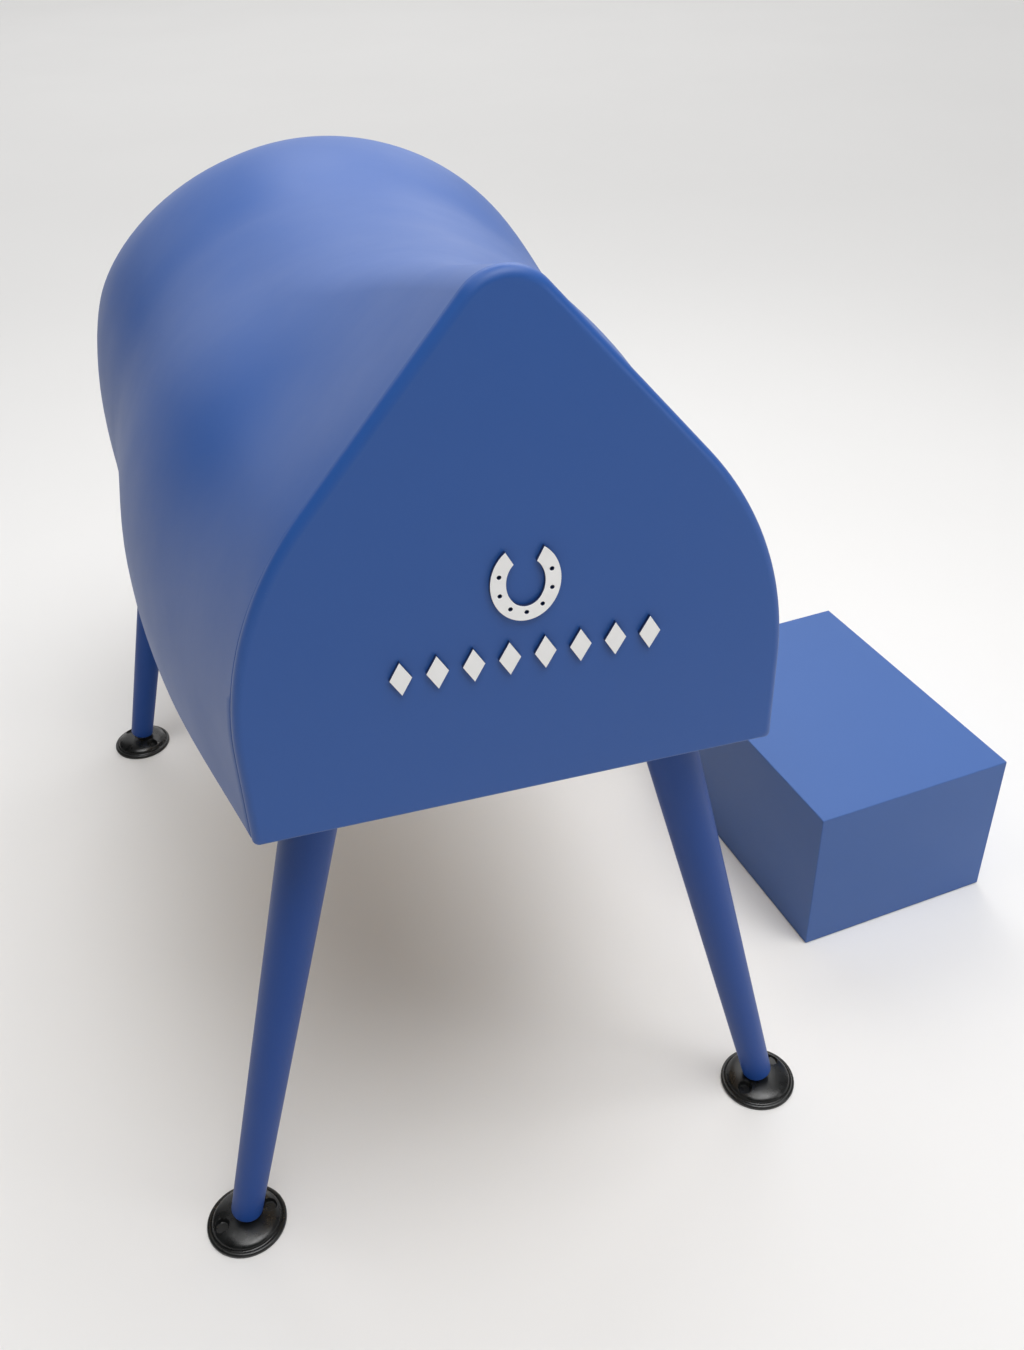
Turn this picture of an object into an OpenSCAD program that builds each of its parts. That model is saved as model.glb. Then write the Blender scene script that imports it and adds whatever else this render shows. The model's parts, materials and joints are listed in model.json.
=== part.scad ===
// Saddle horse with a separate mounting step.
// X runs across the body, Y from the withers (front) to the rump (rear), Z up.
// The origin is on the floor under the middle of the body. Millimetres.

/* [Body shape] */
// Length of the body from the front face to the rear face
body_len = 1280; // [1100:10:1400]
// Height of the body's underside above the floor
base_z = 712; // [650:1:760]
// Half width at six equal stations, front face to rear face
half_widths = [250, 307.5, 336, 337, 351, 339]; // [220:0.5:380]
// Height of the back line above the floor at the same stations
back_heights = [1200, 1127, 1074, 1064, 1083, 965]; // [950:1:1240]
// Slope of the shoulder line from horizontal at the stations
shoulder_slopes = [49.3, 40.3, 28.4, 24.3, 16.8, 24]; // [15:0.1:52]
// Radius of the round between the side and the shoulder line
shoulder_rounds = [333, 365, 343, 343, 349, 120]; // [80:1:370]
// Radius of the round at the top of the back
peak_rounds = [44, 77, 255, 306, 340, 400]; // [40:1:420]

/* [Construction] */
// Thickness of the moulded body shell
shell_t = 5; // [4:0.5:7]
// Thickness of the front and rear panels
panel_t = 12; // [10:1:15]
// Thickness of the plywood base board and formers
ply_t = 18; // [15:1:21]
// Width of the spine beam
beam_w = 40; // [30:1:50]
// Depth of the spine beam
beam_h = 60; // [50:1:70]
// Height of the spine beam's underside
beam_z = 900; // [860:1:910]
// Gap left for glue between timber and shell
glue_gap = 1.5; // [1:0.1:3]

/* [Legs] */
// Sideways splay of each leg from vertical
leg_splay = 14.3; // [10:0.1:16]
// Distance of the front ball joints from the centre line
front_track = 352; // [320:1:370]
// Distance of the rear ball joints from the centre line
rear_track = 429; // [400:1:440]
// Y of the front leg pair
front_leg_y = -527; // [-540:1:-500]
// Y of the rear leg pair
rear_leg_y = 530; // [500:1:540]
// Diameter of a leg at its top
leg_top_d = 60; // [52:1:66]
// Diameter of a leg at its tip
leg_tip_d = 39; // [36:1:44]
// Radius of the rounded edge at the leg tip
tip_round = 5; // [3:0.5:7]

/* [Feet] */
// Diameter of a rubber foot pad
pad_d = 100; // [90:1:110]
// Height of the ball joint's centre above the floor
ball_z = 13; // [12.5:0.5:13.5]
// Radius of the ball
ball_r = 7; // [6.8:0.1:7.2]
// Distance from the ball centre to the leg tip along the leg
tip_gap = 11; // [10.5:0.5:13]
// Turn of each pad about the vertical: front left, front right, rear left, rear right
pad_turns = [10, 30, -55, 20]; // [-90:1:90]

/* [Badge] */
// Sideways place of the badge's centre
badge_x = 6; // [-10:1:10]
// Height of the horseshoe's centre
shoe_z = 938; // [900:1:960]
// Height of the lozenge row's centre
row_z = 865; // [850:1:880]
// Number of lozenges in the row
lozenges = 8; // [5:1:9]
// Thickness of the raised badge pieces
badge_t = 4; // [3:0.5:6]

/* [Step] */
// Width of the step across the body's direction
step_w = 325; // [300:1:400]
// Length of the step along the body
step_l = 472; // [400:1:520]
// Height of the step
step_h = 252; // [220:1:300]
// Thickness of the step's boards
step_t = 18; // [15:1:21]
// Place of the step's near corner, X and Y
step_corner = [531, -321]; // [-400:1:600]
// Turn of the step about the vertical
step_turn = 5.93; // [0:0.01:8]

/* [Hidden] */

lacquer = [0.25, 0.36, 0.62];
white = [0.93, 0.92, 0.9];
plywood = [0.78, 0.64, 0.44];
timber = [0.72, 0.56, 0.36];
steel = [0.62, 0.64, 0.67];
brass = [0.78, 0.62, 0.32];
rubber = [0.07, 0.07, 0.08];
nylon = [0.2, 0.2, 0.21];

half_len = body_len / 2;
last_station = len(half_widths) - 1;
shell_steps = 24;
shoulder_steps = 11;
peak_steps = 8;
shell_end = half_len - panel_t;
run_fit = 0.05;
hair = 0.1;
fine = 48;

// ---------- Body sections ----------

// Value of a station list at y: a smooth curve through the stations
function along(values, y) =
    let (u = (y + half_len) / body_len * last_station,
         i = min(max(floor(u), 0), last_station - 1),
         t = u - i,
         b = values[i],
         c = values[i + 1],
         a = i == 0 ? 2 * b - c : values[i - 1],
         d = i == last_station - 1 ? 2 * c - b : values[i + 2])
    0.5 * (2 * b + (c - a) * t + (2 * a - 5 * b + 4 * c - d) * t * t
        + (3 * b - a - 3 * c + d) * t * t * t);

// Right half of the section at y, set in by inset: side, shoulder round, shoulder line, peak round
function half_section(y, inset) =
    let (w = along(half_widths, y),
         h = along(back_heights, y) - base_z,
         slope = along(shoulder_slopes, y),
         shoulder = along(shoulder_rounds, y),
         line_x = w - shoulder * (1 - sin(slope)),
         peak = min(along(peak_rounds, y), line_x / sin(slope) - 1),
         line_z = h - peak + peak / cos(slope) - line_x * tan(slope),
         shoulder_z = base_z + line_z - shoulder * cos(slope),
         peak_z = base_z + h - peak)
    concat([[w - inset, base_z]],
        [for (k = [0 : shoulder_steps])
            let (a = (90 - slope) * k / shoulder_steps)
            [w - shoulder + (shoulder - inset) * cos(a), shoulder_z + (shoulder - inset) * sin(a)]],
        [for (k = [0 : peak_steps])
            let (a = slope * (1 - k / peak_steps))
            [(peak - inset) * sin(a), peak_z + (peak - inset) * cos(a)]]);

// The whole section at y, right side up to the top and down the left side
function section(y, inset) =
    let (half = half_section(y, inset), top = len(half) - 1)
    concat(half, [for (i = [top - 1 : -1 : 0]) [-half[i][0], half[i][1]]]);

// Ring of outer points and then inner points at y
function shell_ring(y) = concat(
    [for (p = section(y, 0)) [p[0], y, p[1]]],
    [for (p = section(y, shell_t)) [p[0], y, p[1]]]);

module across(y, thickness) {
    translate([0, y + thickness, 0])
        rotate([90, 0, 0])
            linear_extrude(height = thickness)
                children();
}

// ---------- Body ----------

module body_shell() {
    arc = len(section(0, 0));
    ring = 2 * arc;
    last_ring = shell_steps * ring;
    points = [for (i = [0 : shell_steps])
        each shell_ring(-shell_end + 2 * shell_end * i / shell_steps)];
    outside = [for (i = [0 : shell_steps - 1]) for (j = [0 : arc - 2])
        let (a = i * ring + j, b = a + ring)
        each [[a, a + 1, b + 1], [a, b + 1, b]]];
    inside = [for (i = [0 : shell_steps - 1]) for (j = [0 : arc - 2])
        let (a = i * ring + arc + j, b = a + ring)
        each [[a, b + 1, a + 1], [a, b, b + 1]]];
    feet = [for (i = [0 : shell_steps - 1])
        let (o = i * ring, n = o + ring, l = arc - 1)
        each [[o, n, n + arc], [o, n + arc, o + arc],
            [o + l, n + l + arc, n + l], [o + l, o + l + arc, n + l + arc]]];
    ends = [for (j = [0 : arc - 2])
        each [[j, j + arc, j + arc + 1], [j, j + arc + 1, j + 1],
            [last_ring + j, last_ring + j + arc + 1, last_ring + j + arc],
            [last_ring + j, last_ring + j + 1, last_ring + j + arc + 1]]];
    color(lacquer)
        polyhedron(points = points, faces = concat(outside, inside, feet, ends), convexity = 6);
}

// Screw places [x, z] on a former: three low on each side and one at top_z
function former_screws(top_z) =
    [for (side = [-1, 1]) each
        [[side * (half_widths[0] - 30), base_z + 60], [side * (half_widths[0] - 40), base_z + 170],
         [side * 60, base_z + 35], [side * 35, top_z]]];
front_screws = former_screws(back_heights[0] - 228);
rear_screws = former_screws(back_heights[last_station] - 48);
screw_r = 2.1;
screw_bite = 8;

module screw_holes(places, y, depth) {
    for (p = places)
        translate([p[0], y, p[1]])
            rotate([-90, 0, 0])
                cylinder(h = depth, r = screw_r + run_fit, $fn = fine);
}

module front_panel() {
    color(lacquer)
        difference() {
            across(-half_len, panel_t) polygon(section(-half_len, 0));
            screw_holes(front_screws, -shell_end - screw_bite - hair, screw_bite + 1);
        }
}

module rear_panel() {
    color(lacquer)
        difference() {
            across(shell_end, panel_t) polygon(section(half_len, 0));
            screw_holes(rear_screws, shell_end - 1, screw_bite + 1 + hair);
        }
}

former_z = base_z + ply_t + hair;

// Opening that lightens a former, below the spine beam
module former_window(half_w) {
    window_top = beam_z - 40;
    corner = 40;
    for (x = [-1, 1])
        translate([x * (half_w - 80 - corner), 0])
            for (z = [former_z + 60 + corner, window_top - corner])
                translate([0, z])
                    circle(r = corner, $fn = fine);
    translate([-(half_w - 80), former_z + 60 + corner])
        square([2 * (half_w - 80), window_top - former_z - 60 - 2 * corner]);
    translate([-(half_w - 80 - corner), former_z + 60])
        square([2 * (half_w - 80 - corner), window_top - former_z - 60]);
}

// Plywood former from y to y + ply_t, inside the shell
module former(y, inset, half_w) {
    gap = shell_t + glue_gap + inset;
    across(y, ply_t)
        difference() {
            intersection() {
                polygon(section(y, gap));
                polygon(section(y + ply_t, gap));
                translate([-500, former_z])
                    square([1000, 700]);
            }
            former_window(half_w);
        }
}

module beam_notch(y) {
    translate([-beam_w / 2 - hair, y - 1, beam_z - hair])
        cube([beam_w + 2 * hair, ply_t + 2, beam_h + 2 * hair]);
}

module front_former() {
    color(plywood)
        difference() {
            former(-shell_end + hair, 3, 220);
            screw_holes(front_screws, -shell_end - 1, ply_t + 2);
        }
}

module middle_former() {
    color(plywood)
        difference() {
            former(-ply_t / 2, 0, 300);
            beam_notch(-ply_t / 2);
        }
}

module rear_former() {
    color(plywood)
        difference() {
            former(shell_end - ply_t - hair, 3, 300);
            screw_holes(rear_screws, shell_end - ply_t - 1, ply_t + 2);
        }
}

beam_end = shell_end - ply_t - 2 * hair;

module spine_beam() {
    color(timber)
        translate([-beam_w / 2, -beam_end, beam_z])
            cube([beam_w, 2 * beam_end, beam_h]);
}

// How far the shell leans in over the base board's thickness
board_lean = 1.5;

// Half width of the base board at y, inside the shell
function board_half(y) = along(half_widths, y) - shell_t - glue_gap - board_lean;

module base_board() {
    ys = [for (i = [0 : shell_steps]) -shell_end + hair + 2 * (shell_end - hair) * i / shell_steps];
    outline = concat([for (y = ys) [board_half(y), y]],
        [for (i = [shell_steps : -1 : 0]) [-board_half(ys[i]), ys[i]]]);
    color(plywood)
        difference() {
            translate([0, 0, base_z])
                linear_extrude(height = ply_t)
                    polygon(outline);
            plate_screw_bores(base_z - 1, ply_t + 2);
        }
}

bearer_w = 90;
bearer_h = 35;

module bearer(y) {
    reach = min(board_half(y - bearer_w / 2), board_half(y + bearer_w / 2)) - 4;
    difference() {
        translate([-reach, y - bearer_w / 2, base_z + ply_t + hair])
            cube([2 * reach, bearer_w, bearer_h]);
        plate_screw_bores(base_z + ply_t - 1, 22);
    }
}

module front_bearer() { color(timber) bearer(front_leg_y); }
module rear_bearer() { color(timber) bearer(rear_leg_y); }

// A row of panel screws: head on the former, point in the panel; out is +1 or -1 along Y
module panel_screws(places, out) {
    head_y = out * (shell_end - ply_t - hair);
    for (p = places)
        translate([p[0], head_y, p[1]])
            rotate([-90 * out, 0, 0]) {
                cylinder(h = ply_t + hair + screw_bite, r = screw_r, $fn = fine);
                translate([0, 0, -2.5 - hair])
                    cylinder(h = 2.5, r = 4.2, $fn = fine);
                translate([0, 0, -hair - 0.5])
                    cylinder(h = hair + 1, r = screw_r, $fn = fine);
            }
}

module front_panel_screws() { color(steel) panel_screws(front_screws, -1); }
module rear_panel_screws() { color(steel) panel_screws(rear_screws, 1); }

// ---------- Legs ----------

// Legs in the order front left, front right, rear left, rear right: [side, track, y]
legs = [[-1, front_track, front_leg_y], [1, front_track, front_leg_y],
    [-1, rear_track, rear_leg_y], [1, rear_track, rear_leg_y]];
plate_t = 3;
plate_w = 90;
boss_r = 22;
bolt_r = 4;
bolt_grip = 50;
// Distance along the leg from the ball centre to the board's underside
board_reach = (base_z - ball_z) / cos(leg_splay);
// Distance along the leg from the board's underside down to the leg's top
top_drop = (plate_t + 0.5 + leg_top_d / 2 * sin(leg_splay)) / cos(leg_splay);
leg_len = board_reach - top_drop - tip_gap;

// Places children in a leg's own frame: origin at the ball centre, +Z up along the leg
module on_leg(i) {
    translate([legs[i][0] * legs[i][1], legs[i][2], ball_z])
        rotate([0, -legs[i][0] * leg_splay, 0])
            children();
}

// X of a leg's axis at the board's underside
function leg_top_x(i) =
    legs[i][0] * (legs[i][1] - (base_z - ball_z) * tan(leg_splay));

plate_screw_r = 2.5;
function plate_screw_places(i) =
    [for (dx = [-1, 1]) for (dy = [-1, 1])
        [leg_top_x(i) + dx * (plate_w / 2 - 10), legs[i][2] + dy * (plate_w / 2 - 10)]];

module plate_screw_bores(z, depth) {
    for (i = [0 : 3])
        for (p = plate_screw_places(i))
            translate([p[0], p[1], z])
                cylinder(h = depth, r = plate_screw_r + run_fit, $fn = fine);
}

module plate_screws() {
    color(steel)
        for (i = [0 : 3])
            for (p = plate_screw_places(i))
                translate([p[0], p[1], base_z - plate_t - 2.5 - hair]) {
                    cylinder(h = 2.5, r = 4.6, $fn = fine);
                    cylinder(h = 2.5 + plate_t + ply_t + 16, r = plate_screw_r, $fn = fine);
                }
}

// Angled steel plate: flat plate with a boss square to the leg
module leg_plate(i) {
    color(steel)
        difference() {
            union() {
                translate([leg_top_x(i) - plate_w / 2, legs[i][2] - plate_w / 2, base_z - plate_t])
                    cube([plate_w, plate_w, plate_t]);
                intersection() {
                    on_leg(i)
                        translate([0, 0, board_reach - top_drop])
                            cylinder(h = top_drop + 10, r = boss_r, $fn = fine);
                    translate([-500, -650, base_z - 60])
                        cube([1000, 1300, 60 - plate_t / 2]);
                }
            }
            on_leg(i)
                translate([0, 0, board_reach - top_drop - 1])
                    cylinder(h = top_drop + 20, r = bolt_r + run_fit, $fn = fine);
            plate_screw_bores(base_z - plate_t - 1, plate_t + 2);
        }
}

// Hanger bolt: screws into the leg's top and into the plate's boss
module hanger_bolt(i) {
    color(steel)
        on_leg(i)
            translate([0, 0, board_reach - top_drop - bolt_grip])
                cylinder(h = bolt_grip + top_drop - 2, r = bolt_r, $fn = fine);
}

insert_r = 8;
insert_len = 18;
stud_r = 5;
stud_reach = 36;

// Turned, tapered leg with a rounded tip
module leg(i) {
    tip_r = leg_tip_d / 2;
    round_steps = 5;
    profile = concat([[0, 0]],
        [for (k = [0 : round_steps])
            let (a = 90 * k / round_steps)
            [tip_r - tip_round + tip_round * sin(a), tip_round - tip_round * cos(a)]],
        [[leg_top_d / 2, leg_len], [0, leg_len]]);
    color(lacquer)
        on_leg(i)
            translate([0, 0, tip_gap])
                difference() {
                    rotate_extrude($fn = 96)
                        polygon(profile);
                    translate([0, 0, leg_len - bolt_grip - 1])
                        cylinder(h = bolt_grip + 2, r = bolt_r + run_fit, $fn = fine);
                    translate([0, 0, -1])
                        cylinder(h = insert_len + 1.6, r = insert_r + run_fit, $fn = fine);
                    cylinder(h = stud_reach + 4, r = stud_r + 0.5, $fn = fine);
                }
}

// Threaded sleeve in the leg's tip
module leg_insert(i) {
    color(brass)
        on_leg(i)
            translate([0, 0, tip_gap + 0.5])
                difference() {
                    cylinder(h = insert_len, r = insert_r, $fn = fine);
                    translate([0, 0, -1])
                        cylinder(h = insert_len + 2, r = stud_r + run_fit, $fn = fine);
                }
}

// ---------- Feet ----------

// Levelling stud with a ball at its lower end
module ball_stud(i) {
    color(steel)
        on_leg(i)
            union() {
                sphere(r = ball_r, $fn = fine);
                cylinder(h = tip_gap + 1, r = 4, $fn = fine);
                translate([0, 0, tip_gap + 0.8])
                    cylinder(h = stud_reach - 0.8, r = stud_r, $fn = fine);
            }
}

socket_r = 11;
socket_top = 2.5;
socket_floor = 2;

// Nylon cup that holds the ball
module foot_socket(i) {
    low = ball_z - ball_r - socket_floor;
    color(nylon)
        translate([legs[i][0] * legs[i][1], legs[i][2], 0])
            difference() {
                translate([0, 0, low])
                    cylinder(h = ball_z + socket_top - low, r = socket_r, $fn = fine);
                translate([0, 0, ball_z])
                    sphere(r = ball_r + run_fit, $fn = fine);
            }
}

// Domed rubber pad with a rim bead, a groove and two fixing recesses
module foot_pad(i) {
    pad_r = pad_d / 2;
    dome_edge = [pad_r - 6.5, 6];
    dome_top = [socket_r + 1.5, 17];
    dome_steps = 8;
    dome = [for (k = [0 : dome_steps])
        let (a = 90 * k / dome_steps)
        [dome_top[0] + (dome_edge[0] - dome_top[0]) * sin(a),
         dome_edge[1] + (dome_top[1] - dome_edge[1]) * pow(cos(a), 0.8)]];
    rim = [[pad_r - 4.5, 5.2], [pad_r - 3, 6.2], [pad_r - 1.2, 5.6], [pad_r, 4],
        [pad_r, 1.5], [pad_r - 1.5, 0]];
    recess_r = 9.5;
    socket_low = ball_z - ball_r - socket_floor;
    color(rubber)
        translate([legs[i][0] * legs[i][1], legs[i][2], 0])
            rotate([0, 0, pad_turns[i]])
                difference() {
                    rotate_extrude($fn = 96)
                        polygon(concat([[0, 0], [0, dome_top[1]]], dome, rim));
                    translate([0, 0, socket_low - hair])
                        cylinder(h = 40, r = socket_r + run_fit, $fn = fine);
                    for (side = [-1, 1])
                        translate([side * 31, 0, 8.5])
                            cylinder(h = 20, r = recess_r, $fn = fine);
                }
}

// ---------- Badge ----------

// Open-topped horseshoe with seven nail holes
module badge_horseshoe() {
    outer_w = 31;
    inner_w = 17;
    gap_half = 28;
    nails = 7;
    color(white)
        translate([badge_x, 0, shoe_z])
            across(-half_len - badge_t, badge_t)
                difference() {
                    scale([1, 1.2])
                        circle(r = outer_w, $fn = 96);
                    scale([1, 1.35])
                        circle(r = inner_w, $fn = 96);
                    polygon([[0, 0], [-outer_w * tan(gap_half) * 1.6, outer_w * 1.6],
                        [outer_w * tan(gap_half) * 1.6, outer_w * 1.6]]);
                    for (k = [0 : nails - 1])
                        let (a = -90 + (k - (nails - 1) / 2) * 36)
                        translate([24 * cos(a), 29 * sin(a)])
                            circle(r = 1.9, $fn = 24);
                }
}

// Row of upright lozenges under the horseshoe
module badge_lozenges() {
    pitch = 32;
    half_w = 10;
    half_h = 17;
    color(white)
        for (k = [0 : lozenges - 1])
            translate([badge_x + (k - (lozenges - 1) / 2) * pitch, 0, row_z])
                across(-half_len - badge_t, badge_t)
                    polygon([[half_w, 0], [0, half_h], [-half_w, 0], [0, -half_h]]);
}

// ---------- Step ----------

block = 30;
glide_h = 5;
step_foot = 2;

module on_step() {
    translate([step_corner[0], step_corner[1], 0])
        rotate([0, 0, step_turn])
            children();
}

module step_top() {
    color(lacquer)
        on_step()
            translate([0, 0, step_h - step_t])
                cube([step_w, step_l, step_t]);
}

module step_side(x) {
    color(lacquer)
        on_step()
            difference() {
                translate([x, 0, step_foot])
                    cube([step_t, step_l, step_h - step_t - step_foot]);
                step_screw_bores();
            }
}

module step_end(y) {
    color(lacquer)
        on_step()
            difference() {
                translate([step_t, y, step_foot])
                    cube([step_w - 2 * step_t, step_t, step_h - step_t - step_foot]);
                step_screw_bores();
            }
}

module step_left() { step_side(0); }
module step_right() { step_side(step_w - step_t); }
module step_front() { step_end(0); }
module step_back() { step_end(step_l - step_t); }

// Places children at each inner corner, mirrored so that +X and +Y point inwards
module at_step_corners() {
    for (sx = [0, 1])
        for (sy = [0, 1])
            translate([sx * step_w, sy * step_l, 0])
                mirror([sx, 0, 0])
                    mirror([0, sy, 0])
                        translate([step_t, step_t, 0])
                            children();
}

step_screw_r = 2.1;
step_screw_z = [80, 170];
screw_into_board = 11;

// A screw's line at one corner: kind 0 runs along X, kind 1 along Y
module screw_line(kind, z) {
    translate([kind == 0 ? 0 : block / 2, kind == 0 ? block / 2 : 0, z])
        rotate(kind == 0 ? [0, 90, 0] : [-90, 0, 0])
            children();
}

module step_screw_bores() {
    at_step_corners()
        for (kind = [0, 1])
            screw_line(kind, step_screw_z[kind])
                translate([0, 0, -screw_into_board - hair])
                    cylinder(h = block + screw_into_board + 1, r = step_screw_r + run_fit, $fn = fine);
}

module step_corner_blocks() {
    color(timber)
        on_step()
            difference() {
                at_step_corners()
                    translate([0, 0, glide_h])
                        cube([block, block, step_h - step_t - glide_h]);
                step_screw_bores();
            }
}

module step_screws() {
    color(steel)
        on_step()
            at_step_corners()
                for (kind = [0, 1])
                    screw_line(kind, step_screw_z[kind]) {
                        translate([0, 0, -screw_into_board])
                            cylinder(h = block + screw_into_board + 1, r = step_screw_r, $fn = fine);
                        translate([0, 0, block + hair])
                            cylinder(h = 2.5, r = 4.2, $fn = fine);
                    }
}

module step_glides() {
    color(rubber)
        on_step()
            at_step_corners()
                translate([block / 2, block / 2, 0])
                    cylinder(h = glide_h, r = 13, $fn = fine);
}

// ---------- Drawing ----------

body_shell();
front_panel();
rear_panel();
front_former();
middle_former();
rear_former();
base_board();
spine_beam();
front_bearer();
rear_bearer();
front_panel_screws();
rear_panel_screws();
plate_screws();
badge_horseshoe();
badge_lozenges();
leg_plate(0);  // leg_plate_fl
leg_plate(1);  // leg_plate_fr
leg_plate(2);  // leg_plate_rl
leg_plate(3);  // leg_plate_rr
hanger_bolt(0);  // hanger_bolt_fl
hanger_bolt(1);  // hanger_bolt_fr
hanger_bolt(2);  // hanger_bolt_rl
hanger_bolt(3);  // hanger_bolt_rr
leg(0);  // leg_fl
leg(1);  // leg_fr
leg(2);  // leg_rl
leg(3);  // leg_rr
leg_insert(0);  // leg_insert_fl
leg_insert(1);  // leg_insert_fr
leg_insert(2);  // leg_insert_rl
leg_insert(3);  // leg_insert_rr
ball_stud(0);  // ball_stud_fl
ball_stud(1);  // ball_stud_fr
ball_stud(2);  // ball_stud_rl
ball_stud(3);  // ball_stud_rr
foot_socket(0);  // foot_socket_fl
foot_socket(1);  // foot_socket_fr
foot_socket(2);  // foot_socket_rl
foot_socket(3);  // foot_socket_rr
foot_pad(0);  // foot_pad_fl
foot_pad(1);  // foot_pad_fr
foot_pad(2);  // foot_pad_rl
foot_pad(3);  // foot_pad_rr
step_top();
step_front();
step_back();
step_left();
step_right();
step_corner_blocks();
step_screws();
step_glides();
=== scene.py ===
"""Looks of the saddle horse and its mounting step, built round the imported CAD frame.

X runs across the body, Y from the withers to the rump, Z up. Lengths are in metres.
"""

import json
import math

import bmesh
import bpy
from mathutils import Matrix, Vector


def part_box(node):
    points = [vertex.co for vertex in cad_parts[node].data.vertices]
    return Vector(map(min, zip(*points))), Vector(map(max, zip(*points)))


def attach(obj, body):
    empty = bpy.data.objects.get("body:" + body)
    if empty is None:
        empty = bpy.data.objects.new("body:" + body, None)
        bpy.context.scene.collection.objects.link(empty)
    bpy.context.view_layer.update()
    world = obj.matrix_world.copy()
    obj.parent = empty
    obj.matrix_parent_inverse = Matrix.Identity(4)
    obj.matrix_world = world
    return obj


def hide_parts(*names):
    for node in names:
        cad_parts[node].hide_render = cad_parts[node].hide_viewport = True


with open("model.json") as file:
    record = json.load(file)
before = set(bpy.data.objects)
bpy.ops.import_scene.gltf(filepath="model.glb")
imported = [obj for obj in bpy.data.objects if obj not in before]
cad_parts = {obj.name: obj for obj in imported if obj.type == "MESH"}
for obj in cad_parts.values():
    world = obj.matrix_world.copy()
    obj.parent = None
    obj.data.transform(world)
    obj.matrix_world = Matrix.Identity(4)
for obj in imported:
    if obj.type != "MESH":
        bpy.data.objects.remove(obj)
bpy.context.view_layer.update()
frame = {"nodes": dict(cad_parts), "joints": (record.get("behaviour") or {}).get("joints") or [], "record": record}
nodes = frame["nodes"]
joints = {j["name"]: j for j in frame["joints"]}
slots = {p["node"]: p["material_slot"] for p in frame["record"]["subparts"]}
MM = 0.001
MERGE_DISTANCE = MM / 10000

# ---------- Sizes ----------

# Body sections at six equal stations, front face to rear face
HALF_WIDTHS = [0.250, 0.3075, 0.336, 0.337, 0.351, 0.339]
BACK_HEIGHTS = [1.200, 1.127, 1.074, 1.064, 1.083, 0.965]
SHOULDER_SLOPES = [49.3, 40.3, 28.4, 24.3, 16.8, 24]
SHOULDER_ROUNDS = [0.333, 0.365, 0.343, 0.343, 0.349, 0.120]
PEAK_ROUNDS = [0.044, 0.077, 0.255, 0.306, 0.340, 0.400]
SHELL_T = 5 * MM

# Rounded edges, and the chamfer on either side of a joint
PANEL_EDGE_R = 8.5 * MM
BODY_LOWER_R = 4 * MM
INNER_CORNER_R = 0.2 * MM
FACE_CORNER_R = 9 * MM
JOINT_LINE = 0.15 * MM

# How finely the body is divided along its length and round its section
BODY_STEPS = 110
SIDE_STEPS = 6
SHOULDER_STEPS = 28
LINE_STEPS = 8
PEAK_STEPS = 24
ROUND_STEPS = 7

body_lo, body_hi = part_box("body_shell")
front_lo, front_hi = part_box("front_panel")
rear_lo, rear_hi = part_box("rear_panel")
BASE_Z = body_lo.z
FRONT_Y = front_lo.y
REAR_Y = rear_hi.y
LAST_STATION = len(HALF_WIDTHS) - 1


# ---------- Mesh helpers ----------


def make_object(name, verts, faces, sharp_deg):
    """A smooth-shaded mesh object with its edges kept sharp above an angle."""
    mesh = bpy.data.meshes.new(name)
    mesh.from_pydata([tuple(v) for v in verts], [], faces)
    mesh.update()
    cleaner = bmesh.new()
    cleaner.from_mesh(mesh)
    bmesh.ops.remove_doubles(cleaner, verts=cleaner.verts, dist=MERGE_DISTANCE)
    bmesh.ops.recalc_face_normals(cleaner, faces=cleaner.faces)
    cleaner.to_mesh(mesh)
    cleaner.free()
    mesh.shade_smooth()
    mesh.set_sharp_from_angle(angle=math.radians(sharp_deg))
    obj = bpy.data.objects.new(name, mesh)
    bpy.context.scene.collection.objects.link(obj)
    return obj


def flat_faces_first(obj):
    """Lets the big flat faces set the shading of the rounds beside them."""
    weighted = obj.modifiers.new("weighted_normals", "WEIGHTED_NORMAL")
    weighted.keep_sharp = True


def strips(ring_count, ring_size, closed):
    """Quads between rings of the same size, numbered one ring after another."""
    last = ring_size if closed else ring_size - 1
    faces = []
    for i in range(ring_count - 1):
        for j in range(last):
            a = i * ring_size + j
            b = i * ring_size + (j + 1) % ring_size
            faces.append((a, b, b + ring_size, a + ring_size))
    return faces


def lathe(profile, segments, place):
    """A turned solid from [radius, height] points that start and end on the axis.

    place(radius, angle, height) gives a point's place in the scene.
    """
    rings = profile[1:-1]
    verts = []
    for radius, height in rings:
        for k in range(segments):
            verts.append(place(radius, 2 * math.pi * k / segments, height))
    faces = strips(len(rings), segments, True)
    low = len(verts)
    verts.append(place(0, 0, profile[0][1]))
    verts.append(place(0, 0, profile[-1][1]))
    top = (len(rings) - 1) * segments
    for k in range(segments):
        n = (k + 1) % segments
        faces.append((low, n, k))
        faces.append((low + 1, top + k, top + n))
    return verts, faces


# ---------- Body sections ----------


def along(values, y):
    """Value of a station list at y: a smooth curve through the stations."""
    u = (y - FRONT_Y) / (REAR_Y - FRONT_Y) * LAST_STATION
    i = min(max(math.floor(u), 0), LAST_STATION - 1)
    t = u - i
    b = values[i]
    c = values[i + 1]
    a = values[i - 1] if i > 0 else 2 * b - c
    d = values[i + 2] if i < LAST_STATION - 1 else 2 * c - b
    square = (2 * a - 5 * b + 4 * c - d) * t * t
    cube = (3 * b - a - 3 * c + d) * t**3
    return 0.5 * (2 * b + (c - a) * t + square + cube)


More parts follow.
